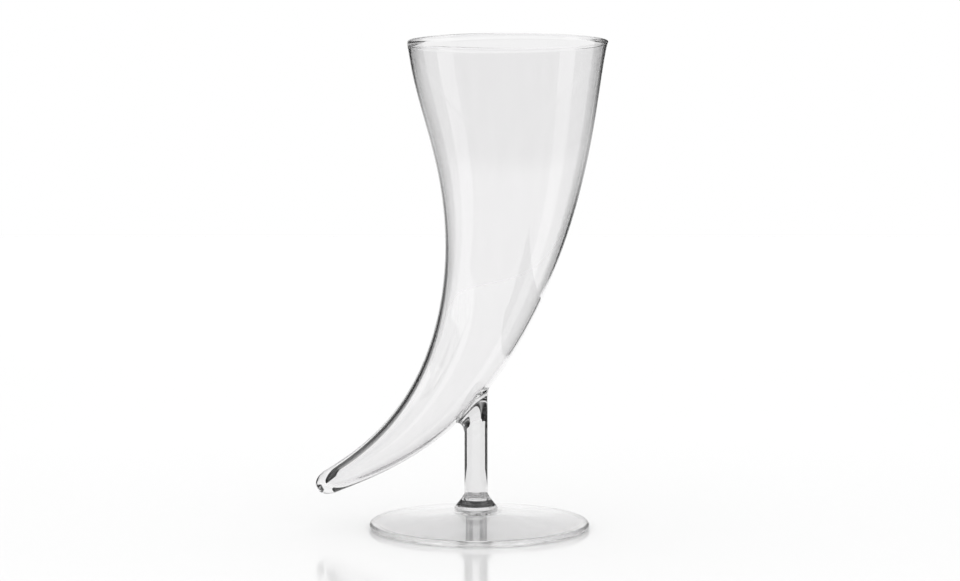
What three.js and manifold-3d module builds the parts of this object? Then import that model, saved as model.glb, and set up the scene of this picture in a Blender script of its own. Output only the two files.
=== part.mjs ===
// Horn glass: a drinking horn of clear lampworked glass, welded on a short rod stem and a round foot.
// Millimetres, +Z up. The horn lies in the XZ plane with its tip towards -X. The origin is on the
// surface that the glass stands on, under the middle of the glass.
import * as THREE from 'three';
import { mergeVertices } from 'three/addons/utils/BufferGeometryUtils.js';
import Module from 'manifold-3d';

// Horn: a tapering tube along a bent middle line, set out at six even stations from the rim to the tip
const HORN_DIAMETERS = [75.8, 60.5, 44.4, 31, 18.8, 9.1]; // outside
const HORN_LEANS = [1, -0.5, 10.7, 25.3, 46.6, 63.7]; // degrees of the middle line from straight down
const HORN_LENGTH = 195; // along the middle line, from the rim to the middle of the round tip
const WALL = 1.4;
const TIP_SOLID = 4.4; // solid glass past the end of the hollow
const RIM_OFFSET = 11.9; // from the stem's axis to the middle of the rim

// Saddle weld: the gather of glass between the rod and the underside of the horn
const WELD_HEIGHT = 11.8; // on the stem's axis, from the rod's end to the horn
const WELD_REACH_TIP = 5; // how far it runs out past the rod along the horn, towards the tip
const WELD_REACH_RIM = 0.6;
const WELD_REACH_SIDE = 2.2;
const WELD_GAP = 0.3; // left between the saddle and the horn

// Stem and collar
const STEM_DIAMETER = 8.9;
const STEM_LENGTH = 22.5;
const COLLAR_DIAMETER = 16.6;
const COLLAR_HEIGHT = 6;
const COLLAR_HOLLOW = 0.45; // how far the collar's flare is drawn in from a straight cone

// Foot: a shallow cone with a rounded edge, hollow below
const FOOT_DIAMETER = 84;
const FOOT_EDGE = 2.4;
const FOOT_HEIGHT = 7; // up to the flat seat of the collar
const FOOT_MIDDLE = 3; // glass below the collar
const FOOT_RING = 2; // width of the flat ring that the foot rests on
const FOOT_OFFSET = 1.3; // the foot was set a little off the stem's axis
const SEAT_MARGIN = 0.4; // flat glass left round the collar

// Fineness of the round shapes
const HORN_SIDES = 36;
const HORN_RINGS = 26;
const FOOT_SIDES = 64;
const STEM_SIDES = 36;
const ROUND_STEPS = 5;
const LINE_STEPS = 240; // steps that add up the middle line
const SLOPE_SPAN = 1; // to each side of the stem's axis, for the slope of the horn's underside
const SAME_POINT = 1e-4; // points nearer than this are joined

const GLASS = { color: 0xeef1f1, roughness: 0.04, metalness: 0, transparent: true, opacity: 0.35 };

const tipRadius = HORN_DIAMETERS[HORN_DIAMETERS.length - 1] / 2;
const stemRadius = STEM_DIAMETER / 2;
const lipRadius = WALL / 2;
const quarterTurn = Math.PI / 2;

const collarBase = FOOT_HEIGHT;
const stemBase = collarBase + COLLAR_HEIGHT;
const weldBase = stemBase + STEM_LENGTH;
const saddleHeight = weldBase + WELD_HEIGHT;

const wasm = await Module();
wasm.setup();

// Middle line of the horn

// Share of the way from the rim to the tip, at a distance along the middle line.
function shareAt(along) {
  return Math.min(along / HORN_LENGTH, 1);
}

// The one smooth polynomial through the values at evenly spaced stations (Lagrange's form).
function through(values, share) {
  const place = share * (values.length - 1);
  return values.reduce((sum, value, own) => {
    const weight = values.reduce(
      (product, _, other) => (other === own ? product : (product * (place - other)) / (own - other)),
      1,
    );
    return sum + value * weight;
  }, 0);
}

// Heading of the middle line from straight down, positive towards the tip's side.
function headingAt(along) {
  return THREE.MathUtils.degToRad(through(HORN_LEANS, shareAt(along)));
}

// Tilt of the horn's round section: level at the rim, square to the middle line at the tip.
function tiltAt(along) {
  return headingAt(along) - headingAt(0) * (1 - shareAt(along));
}

// Point of the middle line, measured from the middle of the rim.
function middleAt(along) {
  const step = along / LINE_STEPS;
  const point = new THREE.Vector2(0, 0);
  for (let i = 0; i < LINE_STEPS; i += 1) {
    const heading = headingAt((i + 0.5) * step);
    point.x -= Math.sin(heading) * step;
    point.y -= Math.cos(heading) * step;
  }
  return point;
}

function outerRadiusAt(along) {
  return through(HORN_DIAMETERS, shareAt(along)) / 2;
}

// Point on the underside of the horn, away from the tip's side, measured from the stem's axis.
function undersideAt(along) {
  const middle = middleAt(along);
  const tilt = tiltAt(along);
  const radius = outerRadiusAt(along);
  return new THREE.Vector2(
    RIM_OFFSET + middle.x + radius * Math.cos(tilt),
    middle.y - radius * Math.sin(tilt),
  );
}

// Distance along the horn at which its underside crosses the stem's axis, found by halving.
function findStemCrossing() {
  let before = 0;
  let after = HORN_LENGTH;
  for (let i = 0; i < LINE_STEPS; i += 1) {
    const half = (before + after) / 2;
    if (undersideAt(half).x > 0) before = half;
    else after = half;
  }
  return before;
}

// Solids and meshes

function toSolid(geometry) {
  const bare = geometry.clone();
  bare.deleteAttribute('normal');
  bare.deleteAttribute('uv');
  const merged = mergeVertices(bare, SAME_POINT);
  const triVerts = new Uint32Array(merged.index.array);
  const vertProperties = merged.attributes.position.array;
  return new wasm.Manifold(new wasm.Mesh({ numProp: 3, vertProperties, triVerts }));
}

function toGeometry(solid) {
  const { vertProperties, triVerts } = solid.getMesh();
  const geometry = new THREE.BufferGeometry();
  geometry.setAttribute('position', new THREE.BufferAttribute(vertProperties, 3));
  geometry.setIndex(new THREE.BufferAttribute(triVerts, 1));
  geometry.computeVertexNormals();
  return geometry;
}

// A profile of radius and height, turned about the Z axis.
function turned(profile, sides) {
  const points = profile.map(([radius, height]) => new THREE.Vector2(radius, height));
  return new THREE.LatheGeometry(points, sides).rotateX(quarterTurn);
}

// A profile of radius and distance along the horn, turned and then bent along the middle line.
function turnedAndBent(profile) {
  const points = profile.map(([radius, along]) => new THREE.Vector2(radius, along));
  const geometry = new THREE.LatheGeometry(points, HORN_SIDES);
  const place = geometry.attributes.position;
  for (let i = 0; i < place.count; i += 1) {
    const across = place.getX(i);
    const along = place.getY(i);
    const aside = place.getZ(i);
    const middle = middleAt(along);
    const tilt = tiltAt(along);
    place.setXYZ(i, middle.x + across * Math.cos(tilt), aside, middle.y - across * Math.sin(tilt));
  }
  geometry.computeVertexNormals();
  return geometry;
}

// Horn

// Outer skin from just below the lip to the pole of the round tip, grown by a gap.
function outerProfile(start, gap) {
  const profile = [];
  for (let i = 0; i < HORN_RINGS; i += 1) {
    const along = start + ((HORN_LENGTH - start) * i) / HORN_RINGS;
    profile.push([outerRadiusAt(along) + gap, along]);
  }
  const round = tipRadius + gap;
  for (let i = 0; i < ROUND_STEPS; i += 1) {
    const angle = (quarterTurn * i) / ROUND_STEPS;
    profile.push([round * Math.cos(angle), HORN_LENGTH + round * Math.sin(angle)]);
  }
  profile.push([0, HORN_LENGTH + round]);
  return profile;
}

// Inner skin from just below the lip to the closed end of the hollow, which is rounded off.
function innerProfile(start) {
  const end = HORN_LENGTH + tipRadius - TIP_SOLID;
  const round = tipRadius - WALL;
  const roundStart = end - round;
  const profile = [];
  for (let i = 0; i < HORN_RINGS; i += 1) {
    const along = start + ((roundStart - start) * i) / HORN_RINGS;
    profile.push([outerRadiusAt(along) - WALL, along]);
  }
  for (let i = 0; i < ROUND_STEPS; i += 1) {
    const angle = (quarterTurn * i) / ROUND_STEPS;
    const along = roundStart + round * Math.sin(angle);
    profile.push([(outerRadiusAt(along) - WALL) * Math.cos(angle), along]);
  }
  profile.push([0, end]);
  return profile;
}

// The lip is melted round: half a circle from the inner skin over to the outer one.
function lipProfile() {
  const middle = outerRadiusAt(lipRadius) - lipRadius;
  const profile = [];
  for (let i = 1; i < 2 * ROUND_STEPS; i += 1) {
    const angle = (quarterTurn * i) / ROUND_STEPS;
    profile.push([middle - lipRadius * Math.cos(angle), lipRadius * (1 - Math.sin(angle))]);
  }
  return profile;
}

function makeHorn() {
  const inner = innerProfile(lipRadius).reverse();
  return turnedAndBent([...inner, ...lipProfile(), ...outerProfile(lipRadius, 0)]);
}

// The horn's outer form as a full body, grown by the weld's gap, which hollows out the saddle's seat.
function makeSeatCutter() {
  return turnedAndBent([[0, 0], ...outerProfile(0, WELD_GAP)]);
}

// Saddle weld: from the round rod it flares to a seat that follows the slope of the horn

// Height of the horn's underside near the stem's axis, above the rod's end.
function seatHeightAt(x, y, crossing) {
  const radius = outerRadiusAt(crossing);
  const before = undersideAt(crossing - SLOPE_SPAN);
  const after = undersideAt(crossing + SLOPE_SPAN);
  const slope = Math.atan2(before.y - after.y, before.x - after.x);
  const rise = radius - Math.sqrt(Math.max(radius ** 2 - y ** 2, 0));
  return WELD_HEIGHT + x * Math.tan(slope) + rise / Math.cos(slope);
}

function weldRing(share, crossing) {
  const angle = quarterTurn * share;
  const out = 1 - Math.cos(angle);
  const up = Math.sin(angle);
  const ring = [];
  for (let i = 0; i < STEM_SIDES; i += 1) {
    const around = (2 * Math.PI * i) / STEM_SIDES;
    const along = Math.cos(around);
    const reach = along < 0 ? WELD_REACH_TIP : WELD_REACH_RIM;
    const x = stemRadius * along + reach * along * Math.abs(along);
    const y = (stemRadius + WELD_REACH_SIDE) * Math.sin(around);
    const seat = seatHeightAt(x, y, crossing);
    ring.push(new THREE.Vector3(
      THREE.MathUtils.lerp(stemRadius * along, x, out),
      THREE.MathUtils.lerp(stemRadius * Math.sin(around), y, out),
      seat * up,
    ));
  }
  return ring;
}

// A closed skin over rings of points, each end covered by a fan round its middle.
function skinOver(rings) {
  const sides = rings[0].length;
  const points = rings.flat();
  const faces = [];
  for (let row = 0; row < rings.length - 1; row += 1) {
    for (let i = 0; i < sides; i += 1) {
      const a = row * sides + i;
      const b = row * sides + ((i + 1) % sides);
      faces.push(a, b, b + sides, a, b + sides, a + sides);
    }
  }
  const last = (rings.length - 1) * sides;
  const bottom = points.length;
  const top = bottom + 1;
  for (let i = 0; i < sides; i += 1) {
    const next = (i + 1) % sides;
    faces.push(bottom, next, i, top, last + i, last + next);
  }
  const middleOf = (ring) => ring.reduce((sum, point) => sum.add(point), new THREE.Vector3())
    .divideScalar(sides);
  points.push(middleOf(rings[0]), middleOf(rings[rings.length - 1]));
  return new THREE.BufferGeometry().setFromPoints(points).setIndex(faces);
}

function makeSaddle(hornPlace, crossing) {
  const rings = [];
  for (let i = 0; i <= ROUND_STEPS; i += 1) {
    rings.push(weldRing(i / ROUND_STEPS, crossing));
  }
  const buried = rings[ROUND_STEPS].map((point) => point.clone().setZ(point.z + stemRadius));
  const gather = toSolid(skinOver([...rings, buried]));
  const cutter = makeSeatCutter().translate(hornPlace.x, 0, hornPlace.z - weldBase);
  return toGeometry(gather.subtract(toSolid(cutter)));
}

// Stem and foot

function makeRod() {
  return turned([[0, 0], [stemRadius, 0], [stemRadius, STEM_LENGTH], [0, STEM_LENGTH]], STEM_SIDES);
}

function makeCollar() {
  const baseRadius = COLLAR_DIAMETER / 2;
  const profile = [[0, 0]];
  for (let i = 0; i <= ROUND_STEPS; i += 1) {
    const share = i / ROUND_STEPS;
    const straight = THREE.MathUtils.lerp(baseRadius, stemRadius, share);
    profile.push([straight - COLLAR_HOLLOW * Math.sin(Math.PI * share), COLLAR_HEIGHT * share]);
  }
  profile.push([0, COLLAR_HEIGHT]);
  return turned(profile, STEM_SIDES);
}

function makeFoot() {
  const edge = FOOT_EDGE / 2;
  const edgeMiddle = FOOT_DIAMETER / 2 - edge;
  const seatRadius = COLLAR_DIAMETER / 2 + FOOT_OFFSET + SEAT_MARGIN;
  const hollow = FOOT_HEIGHT - FOOT_MIDDLE;
  const profile = [[0, hollow], [seatRadius, hollow], [edgeMiddle - FOOT_RING, 0]];
  for (let i = 0; i <= 2 * ROUND_STEPS; i += 1) {
    const angle = (quarterTurn * i) / ROUND_STEPS;
    profile.push([edgeMiddle + edge * Math.sin(angle), edge * (1 - Math.cos(angle))]);
  }
  profile.push([seatRadius, FOOT_HEIGHT], [0, FOOT_HEIGHT]);
  return turned(profile, FOOT_SIDES);
}

// Assembly

function makePiece(name, geometry, x, z) {
  const piece = new THREE.Mesh(geometry, new THREE.MeshStandardMaterial(GLASS));
  piece.name = name;
  piece.position.set(x, 0, z);
  return piece;
}

const crossing = findStemCrossing();
const hornPlace = new THREE.Vector3(RIM_OFFSET, 0, saddleHeight - undersideAt(crossing).y);

const hornGlass = new THREE.Group();
hornGlass.add(
  makePiece('horn_bowl', makeHorn(), hornPlace.x, hornPlace.z),
  makePiece('saddle_weld', makeSaddle(hornPlace, crossing), 0, weldBase),
  makePiece('stem_rod', makeRod(), 0, stemBase),
  makePiece('foot_collar', makeCollar(), 0, collarBase),
  makePiece('foot_disc', makeFoot(), FOOT_OFFSET, 0),
);

// The middle of the glass, from side to side, stands over the origin.
const whole = new THREE.Box3().setFromObject(hornGlass);
hornGlass.children.forEach((piece) => piece.translateX(-(whole.min.x + whole.max.x) / 2));

export default hornGlass;
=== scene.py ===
# %% [markdown]
# # A drinking horn of clear glass
# The object is a horn glass: a thin tube of clear glass, drawn out and bent to a closed tip, welded
# to a short solid rod that stands on a round foot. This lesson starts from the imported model, which
# gives each piece its place, and makes each piece again as a fine, smooth skin, because glass shows
# every facet. Then it gives the glass its finish, and sets up the studio and the camera.

import math

import bmesh
import bpy
import numpy as np
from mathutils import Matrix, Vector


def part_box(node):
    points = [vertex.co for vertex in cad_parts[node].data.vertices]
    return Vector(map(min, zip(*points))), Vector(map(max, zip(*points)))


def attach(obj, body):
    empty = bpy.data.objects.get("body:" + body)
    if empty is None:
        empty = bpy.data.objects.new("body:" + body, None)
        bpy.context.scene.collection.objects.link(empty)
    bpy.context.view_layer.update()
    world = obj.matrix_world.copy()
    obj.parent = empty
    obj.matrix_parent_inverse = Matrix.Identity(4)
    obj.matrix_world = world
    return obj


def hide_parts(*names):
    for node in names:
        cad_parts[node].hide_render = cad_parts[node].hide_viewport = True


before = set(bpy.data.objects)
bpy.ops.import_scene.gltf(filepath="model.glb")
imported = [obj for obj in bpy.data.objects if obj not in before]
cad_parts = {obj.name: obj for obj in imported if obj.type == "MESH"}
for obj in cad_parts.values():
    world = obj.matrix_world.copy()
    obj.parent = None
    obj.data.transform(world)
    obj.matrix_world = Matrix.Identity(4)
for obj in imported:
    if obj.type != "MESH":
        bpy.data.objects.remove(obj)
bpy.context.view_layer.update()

MM = 0.001  # sizes below are millimetres, and meshes are metres

# %% [markdown]
# ## The horn's middle line
# The maker draws the tube out over a flame and bends it while it is soft, so the horn has no
# straight stretch and no true circle in its curve. A Bezier curve with a bevel object could follow
# it. A formula is better here: the diameter and the lean of the middle line are each the one
# polynomial through six even stations, so that they change smoothly all the way.

# %% The horn's middle line
HORN_DIAMETERS = [75.8, 60.5, 44.4, 31, 18.8, 9.1]  # outside, from the rim to the tip
HORN_LEANS = [1, -0.5, 10.7, 25.3, 46.6, 63.7]  # degrees of the middle line from straight down
HORN_LENGTH = 195  # along the middle line, from the rim to the middle of the round tip
RIM_OFFSET = 11.9  # from the stem's axis to the middle of the rim
GAUSS_POINTS = 24

stations = np.linspace(0, 1, len(HORN_DIAMETERS))
diameter_curve = np.polyfit(stations, HORN_DIAMETERS, len(stations) - 1)
lean_curve = np.polyfit(stations, np.radians(HORN_LEANS), len(stations) - 1)

stem_low, stem_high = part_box("stem_rod")
horn_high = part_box("horn_bowl")[1]
stem_x = (stem_low.x + stem_high.x) / 2 / MM
rim_x = stem_x + RIM_OFFSET
rim_z = horn_high.z / MM


def share_of(along):
    """Share of the way from the rim to the tip: distance over length, and 1 past the end."""
    return np.minimum(along / HORN_LENGTH, 1)


def lean_at(along):
    """Angle of the middle line from straight down: the polynomial through the stations' leans."""
    return np.polyval(lean_curve, share_of(along))


def tilt_at(along):
    """Tilt of the section: the lean, less what is left of the rim's own lean, so the rim is level."""
    return lean_at(along) - lean_at(0) * (1 - share_of(along))


def radius_at(along):
    """Outer radius: half the polynomial through the stations' diameters."""
    return np.polyval(diameter_curve, share_of(along)) / 2


def middle_at(along):
    """Point (x, z) of the middle line: the lean's sine and cosine, added up from the rim."""
    points, weights = np.polynomial.legendre.leggauss(GAUSS_POINTS)
    lean = lean_at(along[..., None] * (points + 1) / 2)
    x = rim_x - along * (np.sin(lean) @ weights) / 2
    z = rim_z - along * (np.cos(lean) @ weights) / 2
    return x, z


def on_horn(along, radius, around):
    """Point at a radius and an angle round the middle line: a circle in the tilted section."""
    x, z = middle_at(along)
    tilt = tilt_at(along)
    out = radius * np.cos(around)
    return np.stack([x + out * np.cos(tilt), radius * np.sin(around), z - out * np.sin(tilt)], axis=-1)


print("stem's axis at x =", round(stem_x, 2), "and rim at z =", round(rim_z, 2))

# %% [markdown]
# ## Skins and welds
# Each piece is made of sheets: grids of points with rows along the piece and columns round it. The
# sheets' shared edges are welded, which also turns a row that has shrunk to a point into a pole.
# Where two pieces are melted together there is no surface in the real glass, so the faces of the
# seam are in a second slot, which light passes without bending.

# %% From sheets to a piece
GLASS = 0  # slot of the faces that air touches
SEAM = 1  # slot of the faces inside a melted joint
WELD_DISTANCE = 1e-7  # metres
SHARP_ANGLE = math.radians(35)

thin_glass = bpy.data.materials.new("clear_glass_thin")
thick_glass = bpy.data.materials.new("clear_glass_thick")
seam = bpy.data.materials.new("melted_seam")


def sheet_faces(rows, columns, closed):
    """Corner numbers of each face of a grid: a point, its neighbour, and the two in the next row."""
    first = np.arange(columns if closed else columns - 1)
    second = (first + 1) % columns
    row = np.arange(rows - 1)[:, None] * columns
    corners = [row + first, row + second, row + columns + second, row + columns + first]
    return np.stack(corners, axis=-1).reshape(-1, 4)


def make_piece(name, node, glass, sheets):
    """One closed piece from sheets of (grid of points in mm, closed round or not, slot of each face)."""
    points, faces, slots = [], [], []
    count = 0
    for grid, closed, slot in sheets:
        rows, columns = grid.shape[:2]
        corners = sheet_faces(rows, columns, closed)
        points.append(grid.reshape(-1, 3) * MM)
        faces.append(corners + count)
        slots.append(np.broadcast_to(slot, len(corners)))
        count += rows * columns
    mesh = bpy.data.meshes.new(name)
    mesh.from_pydata(np.concatenate(points), [], np.concatenate(faces).tolist())
    mesh.polygons.foreach_set("material_index", np.concatenate(slots).astype(np.int32))
    mesh.materials.append(glass)
    mesh.materials.append(seam)
    weld_mesh(mesh)
    piece = bpy.data.objects.new(name, mesh)
    bpy.context.scene.collection.objects.link(piece)
    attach(piece, "root")
    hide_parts(node)
    print(name, "has", len(mesh.polygons), "faces")
    return piece


def weld_mesh(mesh):
    """Joins the sheets' shared points, turns the faces outwards and shades them smoothly."""
    work = bmesh.new()
    work.from_mesh(mesh)
    bmesh.ops.remove_doubles(work, verts=work.verts, dist=WELD_DISTANCE)
    bmesh.ops.recalc_face_normals(work, faces=work.faces)
    work.to_mesh(mesh)
    work.free()
    mesh.polygons.foreach_set("use_smooth", np.ones(len(mesh.polygons), dtype=bool))
    mesh.set_sharp_from_angle(angle=SHARP_ANGLE)


# %% [markdown]
# ## The saddle weld's edge
# The rod's end was melted on to the horn, and a little soft glass was drawn out along the horn's
# underside, furthest towards the tip. The edge of that saddle is a closed curve on the horn. To find
# it, each point of the flared outline, as seen from below, is carried up to the horn's skin.

# %% The saddle's edge on the horn
STEM_DIAMETER = 8.9
WELD_REACH_TIP = 3  # past the rod, along the horn towards the tip
WELD_REACH_RIM = 0.6
WELD_REACH_SIDE = 5
HALVINGS = 50

stem_radius = STEM_DIAMETER / 2


def on_rod(angle):
    """Point (x, y) of the rod's outline, from the stem's axis: a circle."""
    return stem_radius * np.cos(angle), stem_radius * np.sin(angle)


def on_saddle_edge(angle):
    """Point (x, y) of the saddle's outline: the circle, drawn out by the reaches, towards the tip most."""
    along = np.cos(angle)
    reach = np.where(along < 0, WELD_REACH_TIP, WELD_REACH_RIM)
    x = stem_radius * along + reach * along * np.abs(along)
    y = (stem_radius + WELD_REACH_SIDE) * np.sin(angle)
    return x, y


def under_horn(x, y):
    """Distance along the horn, and angle round it, of its underside over a point, by halving."""
    near = np.zeros_like(x)
    far = np.full_like(x, HORN_LENGTH)
    for _ in range(HALVINGS):
        half = (near + far) / 2
        out = np.sqrt(np.maximum(radius_at(half) ** 2 - y ** 2, 0))
        short = middle_at(half)[0] + out * np.cos(tilt_at(half)) > stem_x + x
        near = np.where(short, half, near)
        far = np.where(short, far, half)
    return near, np.arcsin(y / radius_at(near))


edge_angles = np.radians([0, 90, 180, 270])
edge_along, edge_around = under_horn(*on_saddle_edge(edge_angles))
print("saddle's edge along the horn:", edge_along.round(1))
print("and round it:", np.degrees(edge_around).round(1))

# %% [markdown]
# ## The horn
# The bowl is one skin: up the inside from the closed end of the hollow, over the lip, which was melted
# round in the flame, and down the outside to the solid tip. A screw modifier and a curve modifier could
# make it. Here the profile of radius and distance is turned and bent in one formula, and close to the
# saddle the grid is pulled so that one ring of its lines lies on the saddle's edge.

# %% The horn
WALL = 0.85  # below the lip
WALL_TIP = 2  # the drawn glass is thicker towards the tip
WALL_RISE = 1.8  # power of the share of the way that thickens the wall
LIP_BEAD = 1.5  # thickness of the lip, which the flame drew up into a bead
LIP_OUT = 0.15  # how far the bead stands out past the wall
LIP_FADE = 0.9  # distance in which the bead thins to the wall
LIP_LENGTH = 4  # of the finely divided stretch below the bead
TIP_SOLID = 4.4  # solid glass past the end of the hollow
TIP_ROUND = 6  # length of the outer skin's rounding
HOLLOW_ROUND = 7  # length of the hollow's rounding
HORN_SIDES = 144
HORN_ROWS = 110
LIP_ROWS = 20
PATCH_HALF = 24  # grid lines from the middle of the saddle's patch to its side
PATCH_LENGTH = 44  # of the patch along the horn
PATCH_EDGE = 0.5  # place of the saddle's edge between the patch's middle and its side

lip_radius = LIP_BEAD / 2
tip_radius = HORN_DIAMETERS[-1] / 2
horn_end = HORN_LENGTH + tip_radius
hollow_end = horn_end - TIP_SOLID


def rounded(along, end, length):
    """1 along the piece, then a quarter of an ellipse down to 0 at the end."""
    return np.sqrt(1 - np.clip((along - end + length) / length, 0, 1) ** 2)


def bead_at(along):
    """Share of the lip's bead that is left down the wall: a bell curve from the bead's middle."""
    return np.exp(-((along - lip_radius) / LIP_FADE) ** 2)


def outer_radius_at(along):
    """The outer radius, swollen at the lip and rounded off at the tip."""
    return (radius_at(along) + LIP_OUT * bead_at(along)) * rounded(along, horn_end, TIP_ROUND)


def inner_radius_at(along):
    """The outer radius less the wall, which thickens to the tip and at the lip, rounded off at its end."""
    wall = WALL + (WALL_TIP - WALL) * share_of(along) ** WALL_RISE
    bead = (LIP_BEAD - LIP_OUT - WALL) * bead_at(along)
    return (radius_at(along) - wall - bead) * rounded(along, hollow_end, HOLLOW_ROUND)


around = np.linspace(0, 2 * np.pi, HORN_SIDES + 1)[:-1]
around = np.where(around > np.pi, around - 2 * np.pi, around)
patch_middle = (edge_along[0] + edge_along[2]) / 2
patch_turn = 2 * np.pi * PATCH_HALF / HORN_SIDES
patch_start = patch_middle - PATCH_LENGTH / 2
patch_end = patch_middle + PATCH_LENGTH / 2

steps = np.linspace(0, 1, HORN_ROWS)
inner_along = hollow_end - (hollow_end - LIP_LENGTH) * steps ** 2
neck_along = np.linspace(LIP_LENGTH, lip_radius, LIP_ROWS)
upper_along = LIP_LENGTH + (patch_start - LIP_LENGTH) * steps
patch_along = np.linspace(patch_start, patch_end, 2 * PATCH_HALF + 1)
lower_along = horn_end - (horn_end - patch_end) * (1 - steps) ** 2
lip_turn = np.linspace(0, np.pi, LIP_ROWS)
lip_along = lip_radius * (1 - np.sin(lip_turn))
lip_out = outer_radius_at(lip_radius) - lip_radius - lip_radius * np.cos(lip_turn)


def saddle_patch():
    """Distances and angles of the patch's grid: square rings, the middle ones set on the saddle's edge."""
    line = np.linspace(-1, 1, 2 * PATCH_HALF + 1)
    p, q = np.meshgrid(line, line, indexing="ij")
    ring = np.maximum(np.abs(p), np.abs(q))
    side = np.where(ring > 0, ring, 1)
    angle = np.arctan2(q, -p)
    edge_place, edge_turn = under_horn(*on_saddle_edge(angle))
    edge_p = (edge_place - patch_middle) / (PATCH_LENGTH / 2)
    edge_q = edge_turn / patch_turn
    inside = ring / PATCH_EDGE
    outside = (ring - PATCH_EDGE) / (1 - PATCH_EDGE)
    new_p = np.where(inside < 1, inside * edge_p, edge_p + (p / side - edge_p) * outside)
    new_q = np.where(inside < 1, inside * edge_q, edge_q + (q / side - edge_q) * outside)
    return patch_middle + new_p * PATCH_LENGTH / 2, new_q * patch_turn, ring, angle


patch_places, patch_turns, patch_ring, patch_angle = saddle_patch()
patch_columns = np.arange(-PATCH_HALF, PATCH_HALF + 1)


def horn_skin(along, radius):
    """Rows of the horn at distances and radii, each a full turn of the columns."""
    return on_horn(along[:, None], radius[:, None], around[None, :])


def horn_patch_rows():
    """The patch's rows: full turns, with the pulled grid in the columns about the saddle."""
    places = np.repeat(patch_along[:, None], HORN_SIDES, axis=1)
    turns = np.repeat(around[None, :], len(patch_along), axis=0)
    places[:, patch_columns] = patch_places
    turns[:, patch_columns] = patch_turns
    return on_horn(places, outer_radius_at(places), turns)


def seam_faces_of_patch():
    """Slot of each face of the patch's rows: the seam inside the saddle's edge, and glass elsewhere."""
    slots = np.full((2 * PATCH_HALF, HORN_SIDES), GLASS)
    middle = (patch_ring[:-1, :-1] + patch_ring[1:, 1:] + patch_ring[:-1, 1:] + patch_ring[1:, :-1]) / 4
    slots[:, patch_columns[:-1]] = np.where(middle < PATCH_EDGE, SEAM, GLASS)
    return slots.ravel()


horn_bowl = make_piece("horn_bowl_glass", "horn_bowl", thin_glass, [
    (horn_skin(inner_along, inner_radius_at(inner_along)), True, GLASS),
    (horn_skin(neck_along, inner_radius_at(neck_along)), True, GLASS),
    (horn_skin(lip_along, lip_out), True, GLASS),
    (horn_skin(neck_along[::-1], outer_radius_at(neck_along[::-1])), True, GLASS),
    (horn_skin(upper_along, outer_radius_at(upper_along)), True, GLASS),
    (horn_patch_rows(), True, seam_faces_of_patch()),
    (horn_skin(lower_along, outer_radius_at(lower_along)), True, GLASS),
])

# %% [markdown]
# ## The saddle weld
# The saddle flows from the round rod out on to the horn, steep at the rod and flush with the horn at
# its edge, as soft glass does. A bevel or a metaball would blend the two, but neither ends on a given
# curve. Here each column is a Bezier curve from the rod's rim to the edge, and the seat is the same
# patch of grid that the horn has, so the two meet point by point.

# %% The saddle weld
SADDLE_ROWS = 28
ROD_HANDLE = 0.8  # of the column's height: how long it stays upright above the rod
EDGE_HANDLE = 0.35  # of the column's width: how long it stays flush with the horn
EDGE_HANDLE_LEAST = 0.9
SLOPE_STEP = 0.05

weld_base = stem_high.z / MM


def on_underside(x, y):
    """Point of the horn's underside over a point (x, y) from the stem's axis."""
    along, turn = under_horn(x, y)
    return on_horn(along, radius_at(along), turn)


def saddle_columns(angle):
    """Bezier columns from the rod's rim, upright, to the saddle's edge, flush with the horn."""
    rod_x, rod_y = on_rod(angle)
    edge_x, edge_y = on_saddle_edge(angle)
    rim = np.stack([stem_x + rod_x, rod_y, np.full_like(rod_x, weld_base)], axis=-1)
    edge = on_underside(edge_x, edge_y)
    further = on_underside(edge_x + SLOPE_STEP * np.cos(angle), edge_y + SLOPE_STEP * np.sin(angle))
    flush = (further - edge) / np.linalg.norm(further - edge, axis=-1, keepdims=True)
    height = np.abs(edge[:, 2:] - rim[:, 2:])
    width = np.hypot(edge_x - rod_x, edge_y - rod_y)[:, None]
    upright = np.array([0, 0, 1]) * height * ROD_HANDLE
    t = np.linspace(0, 1, SADDLE_ROWS)[:, None, None]
    away = flush * np.maximum(width * EDGE_HANDLE, EDGE_HANDLE_LEAST)
    return ((1 - t) ** 3 * rim + 3 * (1 - t) ** 2 * t * (rim + upright)
            + 3 * (1 - t) * t ** 2 * (edge - away) + t ** 3 * edge)


def disc(outline, middle):
    """Two rows: an outline and its middle, which closes it as a fan."""
    return np.stack([outline, np.broadcast_to(middle, outline.shape)])


on_edge = np.isclose(patch_ring, PATCH_EDGE)
saddle_angles = np.sort(patch_angle[on_edge])
saddle_side = saddle_columns(saddle_angles)
seat_half = round(PATCH_HALF * PATCH_EDGE)
seat = slice(PATCH_HALF - seat_half, PATCH_HALF + seat_half + 1)
seat_places, seat_turns = patch_places[seat, seat], patch_turns[seat, seat]
saddle_weld = make_piece("saddle_weld_glass", "saddle_weld", thick_glass, [
    (saddle_side, True, GLASS),
    (on_horn(seat_places, radius_at(seat_places), seat_turns), False, SEAM),
    (disc(saddle_side[0], [stem_x, 0, weld_base]), True, SEAM),
])

# %% [markdown]
# ## The stem and the foot's collar
# The stem is a length of plain drawn rod. Where it was pressed on to the hot foot the glass swelled
# out into a collar with a rounded edge. Both are turned shapes, which a screw modifier could make. Here
# a profile of radius and height is carried round the stem's axis, so that the collar's lowest ring can
# be handed on to the foot.

# %% The stem and the collar
ROD_SIDES = 96
ROD_ROWS = 24
COLLAR_DIAMETER = 16.6
COLLAR_FLARE = 1.2  # power of the flare: 1 is a straight cone
COLLAR_ROUND = 0.6  # radius of the collar's rounded edge
COLLAR_ROUND_END = 50  # degrees up the rounded edge at which the cone begins
COLLAR_ROWS = 32

collar_low, collar_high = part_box("foot_collar")
collar_base = collar_low.z / MM
stem_base = collar_high.z / MM
collar_radius = COLLAR_DIAMETER / 2
rod_angles = np.linspace(0, 2 * np.pi, ROD_SIDES + 1)[:-1]


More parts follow.
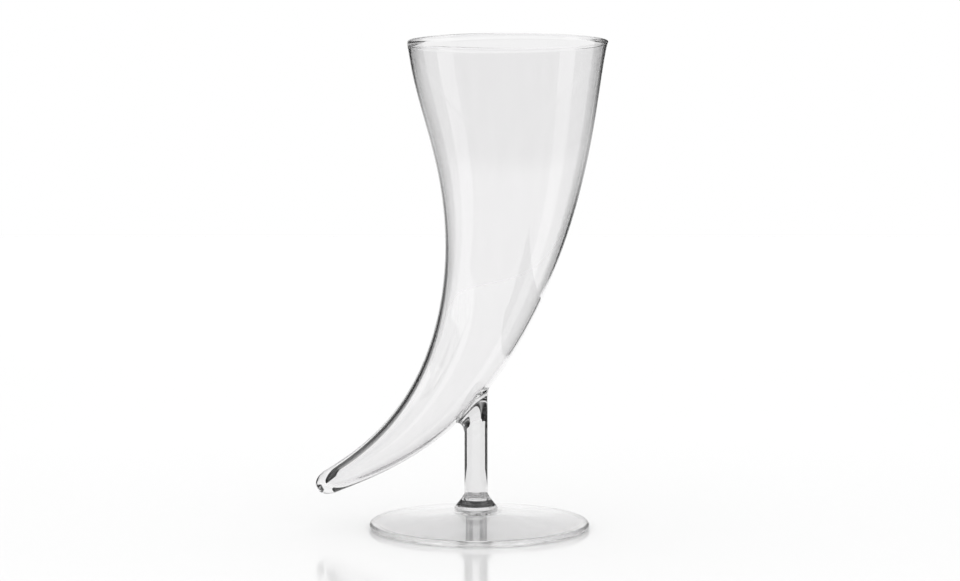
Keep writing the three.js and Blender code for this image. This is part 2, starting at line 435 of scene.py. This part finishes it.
def turned(radius, height, middle_x):
    """Rows of circles: each radius at its height, about an upright axis."""
    x = middle_x + radius[:, None] * np.cos(rod_angles)
    y = radius[:, None] * np.sin(rod_angles)
    z = np.broadcast_to(height[:, None], x.shape)
    return np.stack([x, y, z], axis=-1)


rod_heights = np.linspace(stem_base, weld_base, ROD_ROWS)
rod_side = turned(np.full(ROD_ROWS, stem_radius), rod_heights, stem_x)
stem_rod = make_piece("stem_rod_glass", "stem_rod", thick_glass, [
    (rod_side, True, GLASS),
    (disc(rod_side[0], [stem_x, 0, stem_base]), True, SEAM),
    (disc(rod_side[-1], [stem_x, 0, weld_base]), True, SEAM),
])

round_turn = np.radians(np.linspace(-90, COLLAR_ROUND_END, COLLAR_ROWS))
round_radii = collar_radius + COLLAR_ROUND * (np.cos(round_turn) - 1)
round_heights = collar_base + COLLAR_ROUND * (np.sin(round_turn) + 1)
cone_share = np.linspace(0, 1, COLLAR_ROWS)[1:]
cone_radii = stem_radius + (round_radii[-1] - stem_radius) * (1 - cone_share) ** COLLAR_FLARE
cone_heights = round_heights[-1] + (stem_base - round_heights[-1]) * cone_share
collar_radii = np.concatenate([round_radii, cone_radii])
collar_heights = np.concatenate([round_heights, cone_heights])
collar_side = turned(collar_radii, collar_heights, stem_x)
foot_collar = make_piece("foot_collar_glass", "foot_collar", thick_glass, [
    (collar_side, True, GLASS),
    (disc(collar_side[0], [stem_x, 0, collar_base]), True, SEAM),
    (disc(collar_side[-1], [stem_x, 0, stem_base]), True, SEAM),
])

# %% [markdown]
# ## The foot
# The foot is a shallow cone, pressed hollow below, with an edge that the flame rounded. It stands on
# a narrow flat ring. A lathe profile would do if the collar were in its middle. It isn't quite, so the
# first rings of the grid start round the collar and shift to the foot's own middle.

# %% The foot
FOOT_DIAMETER = 84
FOOT_EDGE = 2.4
FOOT_MIDDLE = 3  # thickness of the glass below the collar
FOOT_RING = 2  # width of the flat ring that the foot stands on
SEAT_MARGIN = 0.4  # flat glass round the collar
SEAT_ROWS = 4
FOOT_ROWS = 40
EDGE_ROWS = 24

foot_low, foot_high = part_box("foot_disc")
foot_x = (foot_low.x + foot_high.x) / 2 / MM
foot_height = foot_high.z / MM
edge_radius = FOOT_EDGE / 2
edge_middle = FOOT_DIAMETER / 2 - edge_radius
seat_radius = collar_radius + (foot_x - stem_x) + SEAT_MARGIN

margin = np.linspace(0, 1, SEAT_ROWS)[:, None, None]
outline_of_collar = collar_side[:1]
outline_of_seat = turned(np.array([seat_radius]), np.array([foot_height]), foot_x)
foot_share = np.linspace(0, 1, FOOT_ROWS)
edge_turn = np.linspace(0, np.pi, EDGE_ROWS)
top_radii = seat_radius + (edge_middle - seat_radius) * foot_share
top_heights = foot_height + (FOOT_EDGE - foot_height) * foot_share
edge_radii = edge_middle + edge_radius * np.sin(edge_turn)
edge_heights = edge_radius * (1 + np.cos(edge_turn))
ring_radii = np.array([edge_middle, edge_middle - FOOT_RING])
hollow_radii = edge_middle - FOOT_RING + (seat_radius - edge_middle + FOOT_RING) * foot_share
hollow_heights = (foot_height - FOOT_MIDDLE) * foot_share
hollow_roof = turned(hollow_radii, hollow_heights, foot_x)
foot_disc = make_piece("foot_disc_glass", "foot_disc", thin_glass, [
    (disc(collar_side[0], [stem_x, 0, foot_height]), True, SEAM),
    (outline_of_collar + (outline_of_seat - outline_of_collar) * margin, True, GLASS),
    (turned(top_radii, top_heights, foot_x), True, GLASS),
    (turned(edge_radii, edge_heights, foot_x), True, GLASS),
    (turned(ring_radii, np.zeros(2), foot_x), True, GLASS),
    (hollow_roof, True, GLASS),
    (disc(hollow_roof[-1], [foot_x, 0, foot_height - FOOT_MIDDLE]), True, GLASS),
])

# %% [markdown]
# ## The finish of the glass
# Clear glass has almost no colour of its own, and a polished skin. A Glass shader would do, but
# Principled with full transmission keeps the finish when the model leaves Blender. Drawing leaves
# faint streaks along the glass, which stretched noise gives as a slight change of tint. The solid
# pieces are darker than the thin ones: light goes further in them, and their darker tint is also
# painted shade, which stands in for the grey that solid glass shows of its surroundings.

# %% Nodes for the finishes
def shader_of(material):
    """The material's node tree, emptied, with its output node."""
    material.use_nodes = True
    tree = material.node_tree
    tree.nodes.clear()
    return tree, tree.nodes.new("ShaderNodeOutputMaterial")


def reckon(tree, operation, first, second=0, clamp=False):
    """Output of a math operation on two values, each a number or another node's output."""
    node = tree.nodes.new("ShaderNodeMath")
    node.operation = operation
    node.use_clamp = clamp
    for socket, value in zip(node.inputs, (first, second)):
        if isinstance(value, bpy.types.NodeSocket):
            tree.links.new(value, socket)
        else:
            socket.default_value = value
    return node.outputs["Value"]


def place_along(tree, axis):
    """Output of the place along an axis of the object, in metres."""
    place = tree.nodes.new("ShaderNodeTexCoord")
    parts = tree.nodes.new("ShaderNodeSeparateXYZ")
    tree.links.new(place.outputs["Object"], parts.inputs["Vector"])
    return parts.outputs[axis]


def soft_step(tree, value, start, end, first, last):
    """Output that goes smoothly from the first level to the last while a value goes from start to end."""
    fade = tree.nodes.new("ShaderNodeMapRange")
    fade.interpolation_type = "SMOOTHSTEP"
    fade.inputs["From Min"].default_value = start
    fade.inputs["From Max"].default_value = end
    fade.inputs["To Min"].default_value = first
    fade.inputs["To Max"].default_value = last
    tree.links.new(value, fade.inputs["Value"])
    return fade.outputs["Result"]


def color_mix(tree, factor):
    """Node that mixes two colours by a factor."""
    mix = tree.nodes.new("ShaderNodeMix")
    mix.data_type = "RGBA"
    tree.links.new(factor, mix.inputs["Factor"])
    return mix


print("materials to finish:", thin_glass.name, thick_glass.name, seam.name)

# %% Clear glass and melted seams
THIN_COLOR = (0.965, 0.962, 0.965, 1)
# darker than the thin glass: partly the longer path of light in solid glass, partly painted shade
THICK_TINT_AND_SHADE = (0.83, 0.827, 0.83, 1)
GLASS_IOR = 1.47
STREAK_COLOR = 0.97  # share of the colour that the darkest streaks keep
STREAK_ACROSS = 300  # streaks in a metre, across the drawn glass and along it
STREAK_ALONG = 12


def clear_glass(material, color):
    """Polished clear glass of a colour, with faint streaks: stretched noise that tints it a little."""
    tree, output = shader_of(material)
    place = tree.nodes.new("ShaderNodeTexCoord")
    stretch = tree.nodes.new("ShaderNodeMapping")
    stretch.inputs["Scale"].default_value = (STREAK_ACROSS, STREAK_ACROSS, STREAK_ALONG)
    streaks = tree.nodes.new("ShaderNodeTexNoise")
    streaks.inputs["Scale"].default_value = 1
    tint = color_mix(tree, streaks.outputs["Fac"])
    tint.inputs["A"].default_value = color
    tint.inputs["B"].default_value = [part * STREAK_COLOR for part in color[:3]] + [1]
    body = tree.nodes.new("ShaderNodeBsdfPrincipled")
    body.inputs["Transmission Weight"].default_value = 1
    body.inputs["IOR"].default_value = GLASS_IOR
    body.inputs["Roughness"].default_value = 0
    tree.links.new(place.outputs["Object"], stretch.inputs["Vector"])
    tree.links.new(stretch.outputs["Vector"], streaks.inputs["Vector"])
    tree.links.new(tint.outputs["Result"], body.inputs["Base Color"])
    tree.links.new(body.outputs["BSDF"], output.inputs["Surface"])
    return tree, body, tint


clear_glass(thin_glass, THIN_COLOR)
thick_tree, thick_body, thick_tint = clear_glass(thick_glass, THICK_TINT_AND_SHADE)
seam_tree, seam_output = shader_of(seam)
seam_clear = seam_tree.nodes.new("ShaderNodeBsdfTransparent")
seam_tree.links.new(seam_clear.outputs["BSDF"], seam_output.inputs["Surface"])
print("finished:", thin_glass.name, thick_glass.name, seam.name)

# %% [markdown]
# ## The dark ring of the collar
# On the real glass the steep cone of the collar turns the light aside and shows as a dark ring. The
# studio below doesn't give that ring by itself, so it is a tint here. It lies between two heights that
# no other solid piece reaches, so the glass of the solid pieces can hold it.

# %% The collar's ring
RING_COLOR = (0.01, 0.01, 0.01, 1)
RING_HEIGHT = 9.7
RING_HALF = 1.2
RING_SOFT = 0.25

ring_above = reckon(thick_tree, "SUBTRACT", place_along(thick_tree, "Z"), RING_HEIGHT * MM)
ring_away = reckon(thick_tree, "ABSOLUTE", ring_above)
ring_start = (RING_HALF - RING_SOFT) * MM
ring_end = (RING_HALF + RING_SOFT) * MM
ring_tint = color_mix(thick_tree, soft_step(thick_tree, ring_away, ring_start, ring_end, 0, 1))
ring_tint.inputs["A"].default_value = RING_COLOR
thick_tree.links.new(thick_tint.outputs["Result"], ring_tint.inputs["B"])
thick_tree.links.new(ring_tint.outputs["Result"], thick_body.inputs["Base Color"])
print("ring from", RING_HEIGHT - RING_HALF, "to", RING_HEIGHT + RING_HALF, "mm")

# %% [markdown]
# ## The camera
# The photograph was taken from level with the middle of the horn, looking a little down, so that the
# rim shows as a thin ellipse and the top of the foot can be seen. A long lens keeps the sides upright.

# %% The camera
CAMERA_PLACE = (0.00728, -0.704, 0.1305)
CAMERA_PITCH = 3.25  # degrees below level
CAMERA_LENS = 69.64

camera_data = bpy.data.cameras.new("camera")
camera_data.lens = CAMERA_LENS
camera = bpy.data.objects.new("camera", camera_data)
camera.location = CAMERA_PLACE
camera.rotation_euler = (math.radians(90 - CAMERA_PITCH), 0, 0)
bpy.context.scene.collection.objects.link(camera)
bpy.context.scene.camera = camera
bpy.context.scene.view_settings.view_transform = "Standard"
print("camera at", CAMERA_PLACE, "with a lens of", CAMERA_LENS, "mm")

# %% [markdown]
# ## The studio
# Clear glass shows only what is round it. Photographers set it in a white field with darkness beside
# it: the middle of the glass then shows white, and its steep edges, which bend the light aside, draw
# themselves as dark lines. Lamps would add hard highlights that the photograph doesn't have, so here
# the world is plain white, and the floor is white and slightly polished.

# %% The white world and the floor
FLOOR_HALF = 4
FLOOR_DROP = 0.00005  # below the foot, so that the two don't share a plane
FLOOR_COLOR = (0.995, 0.995, 0.995, 1)
FLOOR_ROUGHNESS = 0.12

world = bpy.data.worlds.new("white_studio")
bpy.context.scene.world = world
world.use_nodes = True
background = world.node_tree.nodes["Background"]
background.inputs["Color"].default_value = (1, 1, 1, 1)
background.inputs["Strength"].default_value = 1


def make_card(name, corners, material):
    """A four-sided card for the studio, from its corners in metres."""
    mesh = bpy.data.meshes.new(name)
    mesh.from_pydata(corners, [], [(0, 1, 2, 3)])
    mesh.materials.append(material)
    card = bpy.data.objects.new(name, mesh)
    bpy.context.scene.collection.objects.link(card)
    return card


paper = bpy.data.materials.new("white_floor")
paper_tree, paper_output = shader_of(paper)
surface = paper_tree.nodes.new("ShaderNodeBsdfPrincipled")
surface.inputs["Base Color"].default_value = FLOOR_COLOR
surface.inputs["Roughness"].default_value = FLOOR_ROUGHNESS
paper_tree.links.new(surface.outputs["BSDF"], paper_output.inputs["Surface"])
floor_corners = [
    (-FLOOR_HALF, -FLOOR_HALF, -FLOOR_DROP),
    (FLOOR_HALF, -FLOOR_HALF, -FLOOR_DROP),
    (FLOOR_HALF, FLOOR_HALF, -FLOOR_DROP),
    (-FLOOR_HALF, FLOOR_HALF, -FLOOR_DROP),
]
make_card("floor", floor_corners, paper)
print("floor of", 2 * FLOOR_HALF, "m")

# %% [markdown]
# ## The dark cards
# The cards stand where only light that has passed through glass can see them. Low ones beside the
# stem draw its lines, tall flags behind the glass draw the horn's, a pale grey backdrop dims the upper
# bowl, and a dark card behind the camera takes the place of the unlit room. They ride with the camera,
# so the glass has the same field of light in every view. Two kinds of light pass them as if they
# weren't there: light from the floor, so that they leave no marks on it, and light that the glass has
# mirrored many times, which would make the foot's edge darker than it is.

# %% What the cards look like
MIRRORED_MOST = 5.5  # light that the glass has mirrored more often than this passes the cards


def card_finish(name, level, soft, first, last, both_ways=False):
    """Glow that goes from the first strength at a level to the last one above it, or on both sides."""
    material = bpy.data.materials.new(name)
    tree, output = shader_of(material)
    away = reckon(tree, "SUBTRACT", place_along(tree, "Y"), level)
    if both_ways:
        away = reckon(tree, "ABSOLUTE", away)
    glow = tree.nodes.new("ShaderNodeEmission")
    tree.links.new(soft_step(tree, away, 0, soft, first, last), glow.inputs["Strength"])
    light = tree.nodes.new("ShaderNodeLightPath").outputs
    blurred = reckon(tree, "SUBTRACT", light["Is Glossy Ray"], light["Is Singular Ray"], clamp=True)
    mirrored = reckon(tree, "GREATER_THAN", light["Glossy Depth"], MIRRORED_MOST)
    either = reckon(tree, "ADD", blurred, mirrored)
    passing = reckon(tree, "ADD", either, light["Diffuse Depth"], clamp=True)
    clear = tree.nodes.new("ShaderNodeBsdfTransparent")
    choice = tree.nodes.new("ShaderNodeMixShader")
    tree.links.new(passing, choice.inputs["Fac"])
    tree.links.new(glow.outputs["Emission"], choice.inputs[1])
    tree.links.new(clear.outputs["BSDF"], choice.inputs[2])
    tree.links.new(choice.outputs["Shader"], output.inputs["Surface"])
    return material


def hang_card(name, corners, material):
    """A card that rides with the camera, in its own axes, and that only light from glass can see."""
    card = make_card(name, corners, material)
    card.parent = camera
    card.visible_camera = False
    card.visible_diffuse = False
    card.visible_shadow = False


def upright_corners(near, far, low, high):
    """Corners of an upright card between two places (sideways, away from the camera)."""
    return [
        (near[0], low, -near[1]),
        (far[0], low, -far[1]),
        (far[0], high, -far[1]),
        (near[0], high, -near[1]),
    ]


print("light mirrored more than", MIRRORED_MOST, "times passes the cards")

# %% Low cards and flags
CARD_LOW = -0.2  # heights are from the camera's own level, and this is below the floor
CARD_DARK = 0.02
LOW_CARD_NEAR = 0.6  # distances from the camera of the low cards beside the stem
LOW_CARD_FAR = 0.83
LOW_CARD_APART = 0.09  # from the middle of the view
LOW_CARD_HIGH = -0.035
FLAG_NEAR = 0.74  # distances from the camera of the flags behind the glass
FLAG_FAR = 2.3
FLAG_APART_NEAR = 0.11
FLAG_APART_FAR = 0.52
FLAG_APART_HIGH = 0.28  # at the top, near and far
FLAG_LOW = -0.053
FLAG_HIGH = 0.6
FLAG_LEVEL = 0.05  # height at which the flags are palest, about level with the camera
FLAG_SOFT = 0.058
FLAG_PALE = 0.42

low_finish = card_finish("dark_low", CARD_LOW, 1, CARD_DARK, CARD_DARK)
flag_finish = card_finish("dark_flag", FLAG_LEVEL, FLAG_SOFT, FLAG_PALE, CARD_DARK, both_ways=True)
for name, side in (("left", -1), ("right", 1)):
    low_near = (side * LOW_CARD_APART, LOW_CARD_NEAR)
    low_far = (side * LOW_CARD_APART, LOW_CARD_FAR)
    hang_card("low_" + name, upright_corners(low_near, low_far, CARD_LOW, LOW_CARD_HIGH), low_finish)
    flag_corners = [
        (side * FLAG_APART_NEAR, FLAG_LOW, -FLAG_NEAR),
        (side * FLAG_APART_FAR, FLAG_LOW, -FLAG_FAR),
        (side * FLAG_APART_HIGH, FLAG_HIGH, -FLAG_FAR),
        (side * FLAG_APART_HIGH, FLAG_HIGH, -FLAG_NEAR),
    ]
    hang_card("flag_" + name, flag_corners, flag_finish)
print("low cards and flags on both sides")

# %% Backdrop and front card
BACK_AWAY = 2.32  # of the backdrop from the camera
BACK_LEVEL = 0.13  # height at which it starts to turn grey
BACK_SOFT = 0.04
BACK_GREY = 0.93
FRONT_BACK = 0.4  # of the front card behind the camera
FRONT_HALF = 3
FRONT_SOFT = 0.04  # height of the soft edge at the level of the camera
FRONT_DARK = 0.15

back_corners = upright_corners((-FLAG_APART_FAR, BACK_AWAY), (FLAG_APART_FAR, BACK_AWAY), CARD_LOW, FLAG_HIGH)
hang_card("back", back_corners, card_finish("grey_back", BACK_LEVEL, BACK_SOFT, 1, BACK_GREY))
front_corners = upright_corners((-FRONT_HALF, -FRONT_BACK), (FRONT_HALF, -FRONT_BACK), CARD_LOW, FRONT_HALF)
hang_card("front", front_corners, card_finish("dark_front", 0, FRONT_SOFT, 1, FRONT_DARK))
print("backdrop and front card")

# %% [markdown]
# ## Light inside the glass
# Light runs along inside the foot as in a light guide, and leaves at its edge. With few turns allowed
# it would be lost on the way, and the edge would be black, so more are allowed here.

# %% Light inside the glass
GLASS_TURNS = 24

light_limits = bpy.context.scene.cycles
light_limits.max_bounces = GLASS_TURNS
light_limits.glossy_bounces = GLASS_TURNS
light_limits.transmission_bounces = GLASS_TURNS
light_limits.transparent_max_bounces = GLASS_TURNS
print("turns allowed:", GLASS_TURNS)
